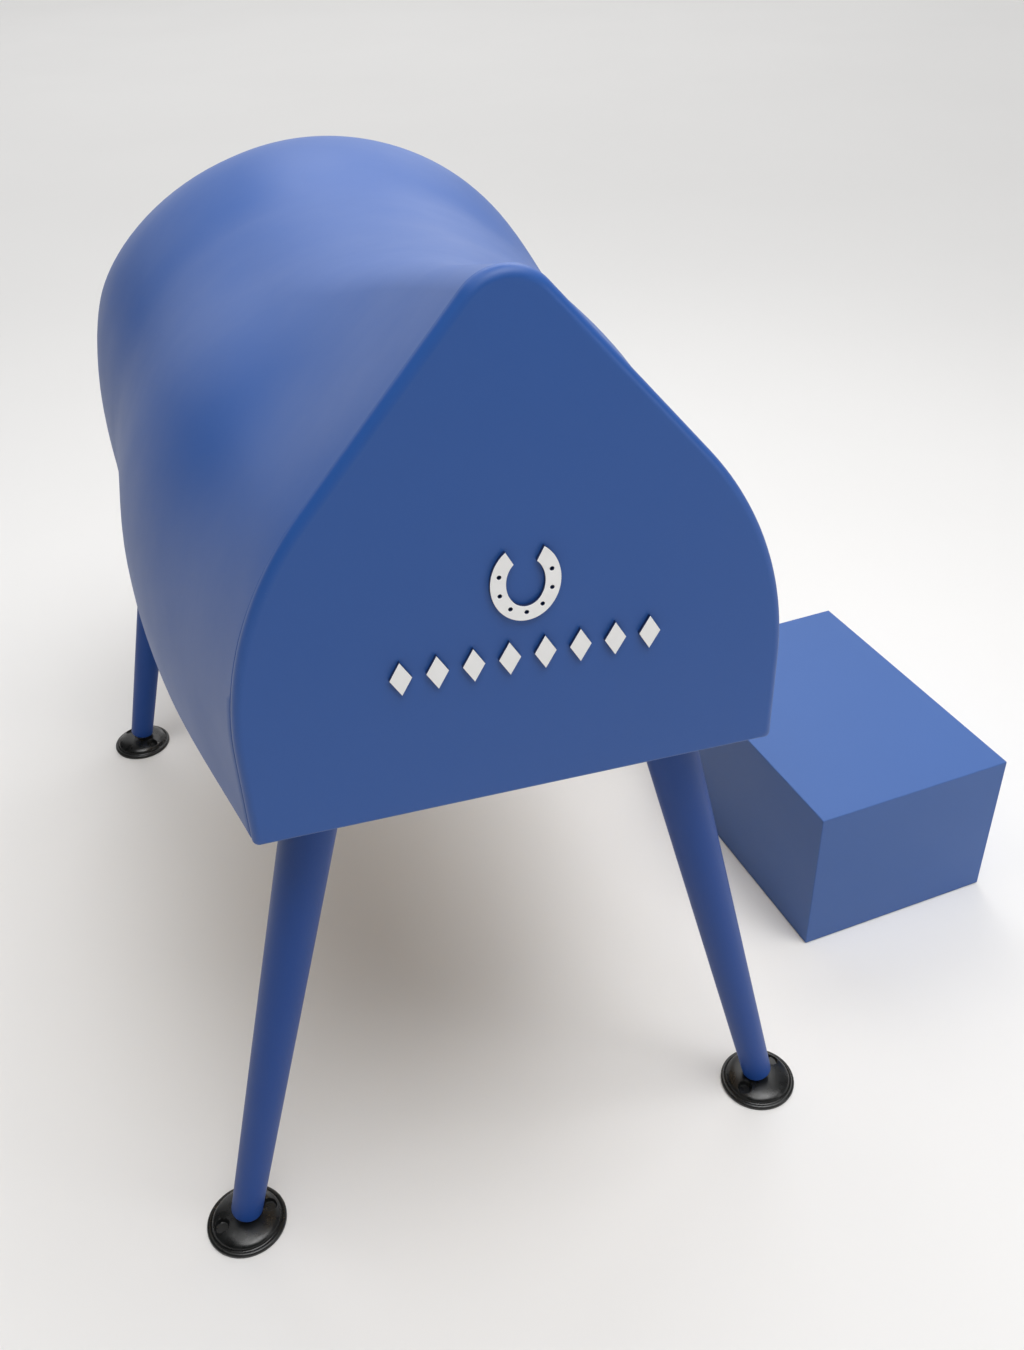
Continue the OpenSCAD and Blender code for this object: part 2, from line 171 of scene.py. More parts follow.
def half_outline(y, inset, floor_inset, corner):
    """Right half of the section at y, underside to top, set in by inset.

    It has a rounded lower corner, the side, the shoulder round, the shoulder line and the peak
    round. Each point is (x, z, share), where share grows from 0 at the underside to 1 at the side
    and stays 1 above. The peak round is kept a little smaller than the shoulder line has room for.
    """
    w = along(HALF_WIDTHS, y)
    h = along(BACK_HEIGHTS, y) - BASE_Z
    slope = math.radians(along(SHOULDER_SLOPES, y))
    shoulder = along(SHOULDER_ROUNDS, y)
    line_x = w - shoulder * (1 - math.sin(slope))
    peak = min(along(PEAK_ROUNDS, y), line_x / math.sin(slope) - MM)
    line_z = h - peak + peak / math.cos(slope) - line_x * math.tan(slope)
    shoulder_x = w - shoulder
    shoulder_z = line_z - shoulder * math.cos(slope)
    side_low = floor_inset + corner
    points = []
    for k in range(ROUND_STEPS):
        t = math.pi / 2 * k / ROUND_STEPS
        x = w - inset - corner * (1 - math.sin(t))
        points.append((x, floor_inset + corner * (1 - math.cos(t)), k / ROUND_STEPS))
    for k in range(SIDE_STEPS):
        points.append((w - inset, side_low + (shoulder_z - side_low) * k / SIDE_STEPS, 1))
    for k in range(SHOULDER_STEPS):
        t = (math.pi / 2 - slope) * k / SHOULDER_STEPS
        x = shoulder_x + (shoulder - inset) * math.cos(t)
        points.append((x, shoulder_z + (shoulder - inset) * math.sin(t), 1))
    for k in range(LINE_STEPS):
        reach = line_x + (peak * math.sin(slope) - line_x) * k / LINE_STEPS
        drop = (reach - line_x) * math.tan(slope)
        x = reach - inset * math.sin(slope)
        points.append((x, line_z - drop - inset * math.cos(slope), 1))
    for k in range(PEAK_STEPS + 1):
        t = slope * (1 - k / PEAK_STEPS)
        points.append(((peak - inset) * math.sin(t), h - peak + (peak - inset) * math.cos(t), 1))
    return [(x, BASE_Z + z, share) for x, z, share in points]


def mirrored(half):
    """The whole outline, right side up to the top and down the left side."""
    return half + [(-p[0], p[1], p[2]) for p in reversed(half[:-1])]


# ---------- Body pieces ----------


def build_body_shell():
    """The moulded skin: outer and inner surface, rounded lower edge, fine joint line at each end."""
    end_y = body_hi.y
    stations = [(-end_y, JOINT_LINE), (-end_y + JOINT_LINE, 0)]
    span = 2 * (end_y - JOINT_LINE)
    for i in range(1, BODY_STEPS):
        stations.append((-end_y + JOINT_LINE + span * i / BODY_STEPS, 0))
    stations += [(end_y - JOINT_LINE, 0), (end_y, JOINT_LINE)]
    verts = []
    for y, inset in stations:
        outer = mirrored(half_outline(y, inset, inset, BODY_LOWER_R))
        inner = mirrored(half_outline(y, SHELL_T, 0, INNER_CORNER_R))
        verts += [(x, y, z) for x, z, _ in outer]
        verts += [(x, y, z) for x, z, _ in reversed(inner)]
    size = len(outer) + len(inner)
    faces = strips(len(stations), size, True)
    last = (len(stations) - 1) * size
    for j in range(len(outer) - 1):
        for ring in (0, last):
            faces.append((ring + j, ring + j + 1, ring + size - 2 - j, ring + size - 1 - j))
    shell = make_object("body_skin", verts, faces, 40)
    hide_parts("body_shell")
    return shell


def build_panel(name, node, back_y, face_y):
    """An end panel with a wide rounded edge round its gable and a fine joint line at its back."""
    out = 1 if face_y > back_y else -1
    edge_y = face_y - out * PANEL_EDGE_R
    joint = mirrored(half_outline(back_y, JOINT_LINE, JOINT_LINE, BODY_LOWER_R))
    side = mirrored(half_outline(edge_y, 0, 0, BODY_LOWER_R))
    rings = [[(x, back_y, z) for x, z, _ in joint]]
    rings.append([(x, back_y + out * JOINT_LINE, z) for x, z, _ in side])
    edge_steps = 2 * ROUND_STEPS
    for k in range(edge_steps + 1):
        t = math.pi / 2 * k / edge_steps
        turn = 1 - math.cos(t)
        inset = PANEL_EDGE_R * turn
        corner = BODY_LOWER_R + (FACE_CORNER_R - BODY_LOWER_R) * turn
        ring = []
        for x, z, share in mirrored(half_outline(edge_y, inset, BODY_LOWER_R * turn, corner)):
            radius = BODY_LOWER_R + (PANEL_EDGE_R - BODY_LOWER_R) * share
            ring.append((x, face_y - out * radius * (1 - math.sin(t)), z))
        rings.append(ring)
    size = len(rings[0])
    verts = [p for ring in rings for p in ring]
    faces = strips(len(rings), size, True)
    last = (len(rings) - 1) * size
    faces.append(tuple(reversed(range(size))))
    faces.append(tuple(range(last, last + size)))
    panel = make_object(name, verts, faces, 40)
    flat_faces_first(panel)
    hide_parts(node)
    return panel


# ---------- Legs and feet ----------

CORNERS = ("fl", "fr", "rl", "rr")
LEG_TOP_R = 30 * MM
LEG_TIP_R = 19.5 * MM
LEG_TIP_ROUND = 5 * MM
LEG_TAPER_STEPS = 12
LEG_SEGMENTS = 96

# The top edge's round: its size, and its middle point in from the side and down from the top
LEG_TOP_ROUND = 1.5 * MM
LEG_TOP_MIDDLE = (0.5 * MM, 0.4 * MM)

# From the ball's centre to the leg's tip, and from the body's underside to the leg's top
TIP_GAP = 11 * MM
PLATE_DROP = 11.26 * MM

# Radius and depth of the bores
STUD_BORE = (5.5 * MM, 40 * MM)
INSERT_BORE = (8.05 * MM, 17.6 * MM)
BOLT_BORE = (4.05 * MM, 51 * MM)
BORE_CHAMFER = 0.4 * MM


def ball_centre(corner):
    """Centre of a foot's ball joint."""
    return Vector(joints["tilt_" + corner]["pos_m"])


def leg_axis(corner):
    """Unit vector up along a leg."""
    return -Vector(joints["level_" + corner]["axis"]).normalized()


def build_leg(corner):
    """Turned, tapered leg with a rounded tip, its stud bore below and its bolt bore above."""
    up = leg_axis(corner)
    across = up.cross(Vector((0, 1, 0))).normalized()
    deep = up.cross(across)
    centre = ball_centre(corner)
    length = (BASE_Z - centre.z) / up.z - PLATE_DROP - TIP_GAP
    profile = [(0, STUD_BORE[1]), STUD_BORE, (STUD_BORE[0], INSERT_BORE[1])]
    profile += [INSERT_BORE, (INSERT_BORE[0], BORE_CHAMFER), (INSERT_BORE[0] + BORE_CHAMFER, 0)]
    for k in range(ROUND_STEPS + 1):
        t = math.pi / 2 * k / ROUND_STEPS
        radius = LEG_TIP_R - LEG_TIP_ROUND * (1 - math.sin(t))
        profile.append((radius, LEG_TIP_ROUND * (1 - math.cos(t))))
    taper_length = length - LEG_TIP_ROUND - LEG_TOP_ROUND
    for k in range(1, LEG_TAPER_STEPS + 1):
        share = k / LEG_TAPER_STEPS
        radius = LEG_TIP_R + (LEG_TOP_R - LEG_TIP_R) * share
        profile.append((radius, LEG_TIP_ROUND + taper_length * share))
    profile.append((LEG_TOP_R - LEG_TOP_MIDDLE[0], length - LEG_TOP_MIDDLE[1]))
    profile.append((LEG_TOP_R - LEG_TOP_ROUND, length))
    profile += [(BOLT_BORE[0], length), (BOLT_BORE[0], length - BOLT_BORE[1])]
    profile.append((0, length - BOLT_BORE[1]))

    def place(radius, angle, height):
        side = across * math.cos(angle) + deep * math.sin(angle)
        return centre + up * (TIP_GAP + height) + side * radius

    verts, faces = lathe(profile, LEG_SEGMENTS, place)
    leg = make_object("turned_leg_" + corner, verts, faces, 40)
    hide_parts("leg_" + corner)
    return leg


PAD_R = 50 * MM
PAD_SEGMENTS = 240
PAD_TURNS = {"fl": 10, "fr": 30, "rl": -55, "rr": 20}

# Radius and height of the dome's edge and top, and of the floor of the well round the ball
DOME_EDGE = (43.5 * MM, 6 * MM)
DOME_TOP = (12.5 * MM, 17 * MM)
DOME_STEPS = 34
DOME_FULLNESS = 0.8
PAD_WELL = (11.05 * MM, 3.9 * MM)

# Points of the well's lip, outwards from the well and down from the dome's top
PAD_LIP = ((0, 0.8 * MM), (0.4 * MM, 0.2 * MM), (0.9 * MM, 0))

# Points of the groove and of the foot of the rim, in from the rim and up from the floor
PAD_GROOVE = ((5.6 * MM, 5.3 * MM), (4.8 * MM, 5.2 * MM), (4 * MM, 5.6 * MM))
PAD_HOLLOW = 0.5 * MM
PAD_HEEL = ((0, 1.5 * MM), (0.4 * MM, 0.4 * MM), (1.5 * MM, 0), (14 * MM, 0), (16 * MM, PAD_HOLLOW))

# The bead round the rim
BEAD_R = 3.2 * MM
BEAD_Z = 3 * MM
BEAD_STEPS = 8

# The two round recesses
RECESS_R = 9.5 * MM
RECESS_X = 31 * MM
RECESS_Z = 8.5 * MM
RECESS_WALL = 1.6 * MM


def smoothstep(low, high, value):
    """0 below low, 1 above high and a smooth rise between them."""
    t = min(max((value - low) / (high - low), 0), 1)
    return t * t * (3 - 2 * t)


def build_pad(corner):
    """Domed rubber pad with a rim bead, a groove, a centre well and two round recesses."""
    centre = ball_centre(corner)
    turn = math.radians(PAD_TURNS[corner])
    profile = [(0, PAD_WELL[1]), PAD_WELL]
    profile += [(PAD_WELL[0] + out, DOME_TOP[1] - drop) for out, drop in PAD_LIP]
    for k in range(DOME_STEPS + 1):
        t = math.pi / 2 * k / DOME_STEPS
        radius = DOME_TOP[0] + (DOME_EDGE[0] - DOME_TOP[0]) * math.sin(t)
        rise = (DOME_TOP[1] - DOME_EDGE[1]) * math.cos(t) ** DOME_FULLNESS
        profile.append((radius, DOME_EDGE[1] + rise))
    profile += [(PAD_R - reach, height) for reach, height in PAD_GROOVE]
    bead_start = math.radians(-40)
    for k in range(BEAD_STEPS + 1):
        t = bead_start + (math.pi / 2 - bead_start) * k / BEAD_STEPS
        profile.append((PAD_R - BEAD_R + BEAD_R * math.sin(t), BEAD_Z + BEAD_R * math.cos(t)))
    profile += [(PAD_R - reach, height) for reach, height in PAD_HEEL]
    profile.append((0, PAD_HOLLOW))

    def place(radius, angle, height):
        x = radius * math.cos(angle)
        y = radius * math.sin(angle)
        if height > DOME_EDGE[1] - 0.1 * MM and radius > DOME_TOP[0]:
            reach = math.hypot(abs(x) - RECESS_X, y)
            inside = 1 - smoothstep(RECESS_R - RECESS_WALL, RECESS_R, reach)
            height += (min(height, RECESS_Z) - height) * inside
        spun = Matrix.Rotation(turn, 2) @ Vector((x, y))
        return (centre.x + spun.x, centre.y + spun.y, height)

    verts, faces = lathe(profile, PAD_SEGMENTS, place)
    pad = make_object("rubber_pad_" + corner, verts, faces, 45)
    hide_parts("foot_pad_" + corner)
    return pad


# ---------- Badge ----------

RELIEF_EDGE_R = 0.5 * MM

# Half width and half height of the horseshoe's inner edge and of the ellipse its nails lie on
SHOE_INNER = (17 * MM, 22.95 * MM)
SHOE_NAIL_RING = (24 * MM, 29 * MM)
SHOE_TALLNESS = 1.2
SHOE_HALF_GAP_DEG = 28
SHOE_STEPS = 64
SHOE_NAILS = 7
SHOE_NAIL_PITCH_DEG = 36
SHOE_NAIL_R = 1.9 * MM
SHOE_NAIL_STEPS = 20

LOZENGES = 8
LOZENGE_HALF_W = 10 * MM


def raised_outline(name, outlines, y_front, thickness):
    """Flat figures in the XZ plane, raised towards -Y, with rounded edges. Inner outlines are holes."""
    curve = bpy.data.curves.new(name, "CURVE")
    curve.dimensions = "2D"
    curve.fill_mode = "BOTH"
    curve.extrude = thickness / 2 - RELIEF_EDGE_R
    curve.bevel_depth = RELIEF_EDGE_R
    curve.bevel_resolution = 3
    curve.offset = -RELIEF_EDGE_R
    for points in outlines:
        spline = curve.splines.new("POLY")
        spline.points.add(len(points) - 1)
        for k, p in enumerate(points):
            spline.points[k].co = (p[0], p[1], 0, 1)
        spline.use_cyclic_u = True
    drawn = bpy.data.objects.new(name + "_outline", curve)
    bpy.context.scene.collection.objects.link(drawn)
    bpy.context.view_layer.update()
    evaluated = drawn.evaluated_get(bpy.context.evaluated_depsgraph_get())
    mesh = bpy.data.meshes.new_from_object(evaluated)
    bpy.data.objects.remove(drawn)
    mesh.transform(Matrix.Rotation(math.pi / 2, 4, "X"))
    mesh.transform(Matrix.Translation((0, y_front + thickness / 2, 0)))
    verts = [v.co.copy() for v in mesh.vertices]
    faces = [tuple(p.vertices) for p in mesh.polygons]
    bpy.data.meshes.remove(mesh)
    obj = make_object(name, verts, faces, 50)
    flat_faces_first(obj)
    return obj


def build_horseshoe():
    """Open-topped horseshoe with nail holes."""
    lo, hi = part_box("badge_horseshoe")
    centre_x = (lo.x + hi.x) / 2
    half_w = (hi.x - lo.x) / 2
    outer = (half_w, half_w * SHOE_TALLNESS)
    centre_z = lo.z + outer[1]
    gap = math.radians(SHOE_HALF_GAP_DEG)

    def edge(radii, share):
        """Point of an ellipse, at a share of the way from one side of the gap to the other."""
        sweep = gap + (2 * math.pi - 2 * gap) * share
        flat = Vector((math.sin(sweep) / radii[0], math.cos(sweep) / radii[1]))
        reach = 1 / flat.length
        return (centre_x + reach * math.sin(sweep), centre_z + reach * math.cos(sweep))

    shape = [edge(outer, k / SHOE_STEPS) for k in range(SHOE_STEPS + 1)]
    shape += [edge(SHOE_INNER, 1 - k / SHOE_STEPS) for k in range(SHOE_STEPS + 1)]
    outlines = [shape]
    for k in range(SHOE_NAILS):
        a = math.radians(SHOE_NAIL_PITCH_DEG * (k - (SHOE_NAILS - 1) / 2) - 90)
        nail_x = centre_x + SHOE_NAIL_RING[0] * math.cos(a)
        nail_z = centre_z + SHOE_NAIL_RING[1] * math.sin(a)
        hole = []
        for n in range(SHOE_NAIL_STEPS):
            t = 2 * math.pi * n / SHOE_NAIL_STEPS
            hole.append((nail_x + SHOE_NAIL_R * math.cos(t), nail_z + SHOE_NAIL_R * math.sin(t)))
        outlines.append(hole)
    piece = raised_outline("horseshoe_relief", outlines, lo.y, hi.y - lo.y)
    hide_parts("badge_horseshoe")
    return piece


def build_lozenges():
    """A row of upright lozenges under the horseshoe."""
    lo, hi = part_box("badge_lozenges")
    half_w = LOZENGE_HALF_W
    half_h = (hi.z - lo.z) / 2
    z = (hi.z + lo.z) / 2
    pitch = (hi.x - lo.x - 2 * half_w) / (LOZENGES - 1)
    outlines = []
    for k in range(LOZENGES):
        x = lo.x + half_w + k * pitch
        outlines.append([(x + half_w, z), (x, z + half_h), (x - half_w, z), (x, z - half_h)])
    piece = raised_outline("lozenge_relief", outlines, lo.y, hi.y - lo.y)
    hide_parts("badge_lozenges")
    return piece


# ---------- Step ----------

STEP_TURN = math.radians(5.93)
STEP_SIZE = Vector((0.325, 0.472, 0.252))
STEP_T = 18 * MM
STEP_FOOT = 2 * MM
STEP_EDGE_R = 1.8 * MM


def step_frame():
    """Matrix of the step's own frame, from its near corner."""
    lo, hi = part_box("step_top")
    centre = (lo + hi) / 2
    turn = Matrix.Rotation(STEP_TURN, 4, "Z")
    back = turn @ Vector((STEP_SIZE.x / 2, STEP_SIZE.y / 2, 0))
    return Matrix.Translation((centre.x - back.x, centre.y - back.y, 0)) @ turn


def build_board(name, node, lo, hi, rounded):
    """A board from lo to hi in the step's frame; edges for which rounded(a, b) holds are rounded."""
    bm = bmesh.new()
    bmesh.ops.create_cube(bm, size=1)
    size = Vector(hi) - Vector(lo)
    middle = (Vector(hi) + Vector(lo)) / 2
    for v in bm.verts:
        v.co = Vector((v.co.x * size.x, v.co.y * size.y, v.co.z * size.z)) + middle
    edges = [e for e in bm.edges if rounded(e.verts[0].co, e.verts[1].co)]
    bmesh.ops.bevel(bm, geom=edges, offset=STEP_EDGE_R, segments=5, profile=0.5, affect="EDGES")
    bm.transform(step_frame())
    bm.verts.index_update()
    verts = [v.co.copy() for v in bm.verts]
    faces = [tuple(v.index for v in f.verts) for f in bm.faces]
    bm.free()
    board = make_object(name, verts, faces, 50)
    flat_faces_first(board)
    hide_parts(node)
    return board


def build_step():
    """Five boards that meet flush, so that only the outer edges of the box are rounded."""
    w, l, h = STEP_SIZE
    side_top = h - STEP_T

    def near(first, second):
        return abs(first - second) < MM / 10

    def outer_vertical(a, b):
        on_x = near(a.x, 0) or near(a.x, w)
        on_y = near(a.y, 0) or near(a.y, l)
        return on_x and on_y and not near(a.z, b.z)

    def outer_or_rim(a, b):
        return outer_vertical(a, b) or (near(a.z, h) and near(b.z, h))

    def no_edge(a, b):
        return False

    boards = [build_board("step_tread", "step_top", (0, 0, side_top), (w, l, h), outer_or_rim)]
    for side, x in {"left": 0, "right": w - STEP_T}.items():
        lo = (x, 0, STEP_FOOT)
        hi = (x + STEP_T, l, side_top)
        boards.append(build_board("step_cheek_" + side, "step_" + side, lo, hi, outer_vertical))
    for end, y in {"front": 0, "back": l - STEP_T}.items():
        lo = (STEP_T, y, STEP_FOOT)
        hi = (w - STEP_T, y + STEP_T, side_top)
        boards.append(build_board("step_apron_" + end, "step_" + end, lo, hi, no_edge))
    return boards


# ---------- Materials ----------

# Linear colours
BODY_BLUE = (0.022, 0.096, 0.358, 1)
# The legs' blue is the body's lacquer made darker: painted shade for their place under the body
SHADED_LEG_BLUE = (0.006, 0.058, 0.285, 1)
STEP_BLUE = (0.064, 0.14, 0.385, 1)
DUST = (0.4, 0.45, 0.6, 1)
WARM_WHITE = (0.97, 0.965, 0.955, 1)
OFF_WHITE = (0.94, 0.935, 0.925, 1)
# Painted shade: dark blue put on the badge's side walls in place of their shadow
BADGE_SIDE_SHADE = (0.012, 0.025, 0.09, 1)
ZINC = (0.6, 0.62, 0.65, 1)
BRASS = (0.72, 0.52, 0.2, 1)
FLOOR_LIGHT = (0.805, 0.797, 0.788, 1)
FLOOR_DARK = (0.79, 0.782, 0.773, 1)


class Shader:
    """A Principled material with a short way to add and join nodes.

    Noise scales are in waves per metre and bump distances in metres.
    """

    def __init__(self, name):
        self.material = bpy.data.materials.new(name)
        self.material.use_nodes = True
        self.tree = self.material.node_tree
        self.surface = self.tree.nodes["Principled BSDF"]
        self.place = self.add("ShaderNodeTexCoord").outputs["Object"]

    def add(self, kind, inputs=None, **settings):
        """A new node with its settings, and its inputs set or joined."""
        node = self.tree.nodes.new(kind)
        for key, value in settings.items():
            setattr(node, key, value)
        for key, value in (inputs or {}).items():
            self.feed(node.inputs[key], value)
        return node

    def feed(self, socket, value):
        """Joins a socket to another node's output, or gives it a plain value."""
        if isinstance(value, bpy.types.NodeSocket):
            self.tree.links.new(value, socket)
        else:
            socket.default_value = value

    def finish(self, base, roughness, normal):
        """Sets what every material has, and returns the material."""
        self.feed(self.surface.inputs["Base Color"], base)
        self.feed(self.surface.inputs["Roughness"], roughness)
        self.feed(self.surface.inputs["Normal"], normal)
        return self.material

    def noise(self, scale, detail, roughness=0.5, place=None):
        """Cloudy pattern around 0.5."""
        inputs = {"Vector": place or self.place, "Scale": scale, "Detail": detail, "Roughness": roughness}
        return self.add("ShaderNodeTexNoise", inputs).outputs["Fac"]

    def range(self, value, low, high, start=0.3, end=0.7):
        """The value's stretch from start to end, moved to low to high."""
        inputs = {"Value": value, "From Min": start, "From Max": end, "To Min": low, "To Max": high}
        return self.add("ShaderNodeMapRange", inputs).outputs["Result"]

    def mix(self, share, first, second):
        """The first colour, replaced by the second in a share from 0 to 1."""
        node = self.add("ShaderNodeMix", data_type="RGBA")
        self.feed(node.inputs["Factor"], share)
        self.feed(node.inputs["A"], first)
        self.feed(node.inputs["B"], second)
        return node.outputs["Result"]

    def bump(self, height, distance, under=None):
        """Fine relief of a pattern, on top of another relief if there is one."""
        inputs = {"Height": height, "Distance": distance, "Strength": 1}
        if under:
            inputs["Normal"] = under
        return self.add("ShaderNodeBump", inputs).outputs["Normal"]

    def stretched(self, squeeze):
        """The place, with a pattern drawn out along Y as far as squeeze is below 1."""
        mapping = self.add("ShaderNodeMapping", {"Vector": self.place, "Scale": (1, squeeze, 1)})
        return mapping.outputs["Vector"]


def colour(r, g, b):
    """Linear colour from the values of a screen colour, 11 to 255."""
    return tuple(((c / 255 + 0.055) / 1.055) ** 2.4 for c in (r, g, b)) + (1,)


def lacquer(name, base, shine):
    """Satin blue lacquer: faint colour drift, orange peel, fine dust."""
    s = Shader(name)
    deep = tuple(c * 0.95 for c in base[:3]) + (1,)
    tone = s.mix(s.range(s.noise(2.2, 4), 0, 1), base, deep)
    dust = s.range(s.noise(900, 2), 0, 0.04, start=0.62, end=0.78)
    gloss = s.range(s.noise(7, 5, 0.6), 0.42, 0.48)
    s.feed(s.surface.inputs["Specular IOR Level"], shine)
    peel = s.bump(s.noise(420, 2), 0.02 * MM)
    waves = s.bump(s.noise(9, 2), 0.2 * MM, peel)
    return s.finish(s.mix(dust, tone, DUST), gloss, waves)


def rubber(name):
    """Moulded black rubber with a soft gloss and a faint bloom."""
    s = Shader(name)
    bloom = s.range(s.noise(60, 5, 0.65), 0, 1, start=0.35, end=0.75)
    tone = s.mix(bloom, colour(17, 18, 18), colour(30, 31, 31))
    gloss = s.range(s.noise(90, 4), 0.24, 0.36)
    return s.finish(tone, gloss, s.bump(s.noise(1400, 3), 0.03 * MM))


def white_plastic(name):
    """White face, with painted shade in dark blue on the side walls."""
    s = Shader(name)
    face = s.mix(s.range(s.noise(14, 4), 0, 1), WARM_WHITE, OFF_WHITE)
    facing = s.add("ShaderNodeTexCoord").outputs["Normal"]
    away_from_front = s.add("ShaderNodeSeparateXYZ", {"Vector": facing}).outputs["Y"]
    # Painted shade: faces turned away from the front are coloured dark blue
    painted_side_shade = s.range(away_from_front, 0, 1, start=-0.75, end=-0.6)
    gloss = s.range(s.noise(45, 4), 0.34, 0.44)
    return s.finish(s.mix(painted_side_shade, face, BADGE_SIDE_SHADE), gloss, s.bump(s.noise(700, 2), 0.02 * MM))


def timber(name, light, dark):
    """Planed softwood with long grain along Y and growth rings."""
    s = Shader(name)
    long_grain = s.stretched(0.05)
    waves = {"Vector": long_grain, "Scale": 14, "Distortion": 5, "Detail": 3}
    growth = s.add("ShaderNodeTexWave", waves, wave_type="RINGS", rings_direction="Y").outputs["Fac"]
    fibre = s.noise(260, 5, 0.6, long_grain)
    tone = s.mix(s.range(growth, 0, 1, start=0.2, end=1), light, dark)
    tone = s.mix(s.range(fibre, 0, 0.35), tone, dark)
    return s.finish(tone, s.range(fibre, 0.55, 0.7), s.bump(fibre, 0.2 * MM))


def plywood(name):
    """Birch plywood: pale figured faces with darker fibres along Y."""
    s = Shader(name)
    long_grain = s.stretched(0.08)
    figure = s.noise(9, 6, 0.6, long_grain)
    fibre = s.noise(240, 4, 0.6, long_grain)
    tone = s.mix(s.range(figure, 0, 1), colour(214, 184, 138), colour(190, 156, 108))
    tone = s.mix(s.range(fibre, 0, 0.3), tone, colour(160, 124, 82))
    return s.finish(tone, 0.62, s.bump(fibre, 0.15 * MM))


def metal(name, base, roughness, grain):
    """Bare metal with faint blotches and uneven polish."""
    s = Shader(name)
    blotch = s.range(s.noise(40, 5, 0.6), 0.88, 1.05)
    shade = s.add("ShaderNodeHueSaturation", {"Color": base, "Value": blotch}).outputs["Color"]
    s.feed(s.surface.inputs["Metallic"], 1)
    polish = s.range(s.noise(120, 4), roughness - 0.06, roughness + 0.08)
    return s.finish(shade, polish, s.bump(s.noise(grain, 2), 0.02 * MM))


def nylon(name):
    """Moulded black nylon."""
    s = Shader(name)
    tone = s.mix(s.range(s.noise(50, 4), 0, 1), colour(34, 34, 36), colour(46, 46, 48))
    gloss = s.range(s.noise(80, 3), 0.42, 0.55)
    return s.finish(tone, gloss, s.bump(s.noise(900, 2), 0.03 * MM))


def floor_material():
    """Matt, very pale grey with a faint drift."""
    s = Shader("studio_floor")
    tone = s.mix(s.range(s.noise(0.8, 3), 0, 1), FLOOR_LIGHT, FLOOR_DARK)
    s.feed(s.surface.inputs["Base Color"], tone)
    s.feed(s.surface.inputs["Roughness"], 0.7)
    return s.material


finishes = {
    "lacquer_body": lacquer("lacquer_body", BODY_BLUE, 0.46),
    "lacquer_leg": lacquer("lacquer_leg", SHADED_LEG_BLUE, 0.3),
    "lacquer_step": lacquer("lacquer_step", STEP_BLUE, 0.26),
    "plywood": plywood("birch_plywood"),
    "timber": timber("softwood", colour(208, 170, 118), colour(168, 122, 74)),
    "zinc_steel": metal("zinc_steel", ZINC, 0.34, 500),
    "brass": metal("turned_brass", BRASS, 0.3, 700),
    "nylon": nylon("moulded_nylon"),
    "rubber": rubber("black_rubber"),
    "badge_white": white_plastic("badge_white"),
}


def dress(obj, slot):
    """Gives an object the finish of one of the record's slots."""
    if obj.material_slots:
        for holder in obj.material_slots:
            holder.material = finishes[slot]
    else:
        obj.data.materials.append(finishes[slot])


def add_piece(obj, slot, body):
    """Gives a visual piece its finish and puts it on the rigid body it moves with."""
    dress(obj, slot)
    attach(obj, body)


# ---------- Assembly ----------

for node_name, node in nodes.items():
    dress(node, slots[node_name])

add_piece(build_body_shell(), "lacquer_body", "stand")
add_piece(build_panel("front_face_panel", "front_panel", front_hi.y, FRONT_Y), "lacquer_body", "stand")
add_piece(build_panel("rear_face_panel", "rear_panel", rear_lo.y, REAR_Y), "lacquer_body", "stand")
add_piece(build_horseshoe(), "badge_white", "stand")
add_piece(build_lozenges(), "badge_white", "stand")
for corner in CORNERS:
    add_piece(build_leg(corner), "lacquer_leg", "stand")
    add_piece(build_pad(corner), "rubber", "foot_" + corner)
for board in build_step():
    add_piece(board, "lacquer_step", "step")

# ---------- Studio ----------

FLOOR_R = 30
BACKDROP_LIGHT = 0.01
BACKDROP_SEEN = 0.6

CAMERA_PLACE = (-0.2417, -1.5068, 1.4775)
CAMERA_YAW_DEG = 15.094
CAMERA_PITCH_DEG = 35.172
CAMERA_ROLL_DEG = 2.193
CAMERA_LENS_MM = 33.67
CAMERA_SENSOR_MM = 36
CAMERA_REACH = 100

# Square soft lights: place, the point each one faces, side and power in watts
STAND_CENTRE = (0, 0, 0.6)
FAR_FLOOR = (1, 8, 0)
SOFTBOXES = {
    "softbox_camera": ((-0.2, -1.9, 2.6), STAND_CENTRE, 1.1, 9),
    "softbox_left": ((-0.8, 0, 2.9), STAND_CENTRE, 1.1, 9),
    "softbox_right": ((0.9, -0.35, 2.9), STAND_CENTRE, 1.1, 12),
    "softbox_rear_right": ((1.2, 1.2, 2.7), STAND_CENTRE, 1.1, 13),
    "softbox_rear": ((0.2, 1.9, 2.7), STAND_CENTRE, 1.1, 5),
    "softbox_low_right": ((2.5, -2.4, 1.3), STAND_CENTRE, 0.8, 8),
    "softbox_background": ((1, 8, 8), FAR_FLOOR, 5, 135),
}

# Wide lights from far away: azimuth (0 is the front, 90 is +X), elevation and width in degrees,
# and brightness
SUNS = {
    "overhead": (0, 76, 36, 0.39),
    "overhead_right": (45, 62, 36, 0.3),
    "backdrop": (180, 15, 55, 0.2),
    "backdrop_right": (135, 15, 55, 0.14),
}


def build_floor():
    """A wide disc under the set."""
    bm = bmesh.new()
    bmesh.ops.create_circle(bm, cap_ends=True, radius=FLOOR_R, segments=96)
    mesh = bpy.data.meshes.new("studio_floor")
    bm.to_mesh(mesh)
    bm.free()
    floor = bpy.data.objects.new("studio_floor", mesh)
    bpy.context.scene.collection.objects.link(floor)
    mesh.materials.append(floor_material())


def add_light(data, place, away):
    """Puts a light at place, shining against the direction away."""
    light = bpy.data.objects.new(data.name, data)
    light.location = place
    light.rotation_euler = away.to_track_quat("Z", "Y").to_euler()
    bpy.context.scene.collection.objects.link(light)


